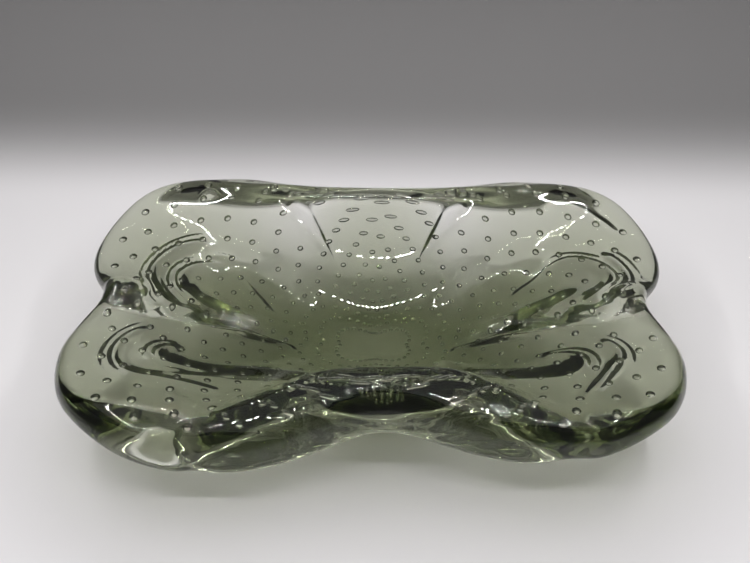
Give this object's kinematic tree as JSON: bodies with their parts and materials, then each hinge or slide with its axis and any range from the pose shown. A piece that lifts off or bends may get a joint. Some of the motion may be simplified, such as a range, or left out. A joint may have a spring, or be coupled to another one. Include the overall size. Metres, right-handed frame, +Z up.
{
  "type": "art glass bowl",
  "caption": "Thick smoke-green glass bowl with flared corner lobes, pinched ends, a deep round well and trapped air bubbles, standing on a flat ground base.",
  "frame": {"origin": "centre of the ground base, on the plane that the bowl stands on", "axes": "+Z up, +X along the long side of the bowl towards one pinched end, +Y across it"},
  "size_m": [0.3049, 0.2209, 0.0705],
  "materials": {
    "smoke_glass": "fire polished, clear grey-green smoke tinted by its depth, ground flat under the base"
  },
  "bodies": {
    "root": {"inner_gather": "smoke_glass", "outer_casing": "smoke_glass"}
  },
  "joints": []
}
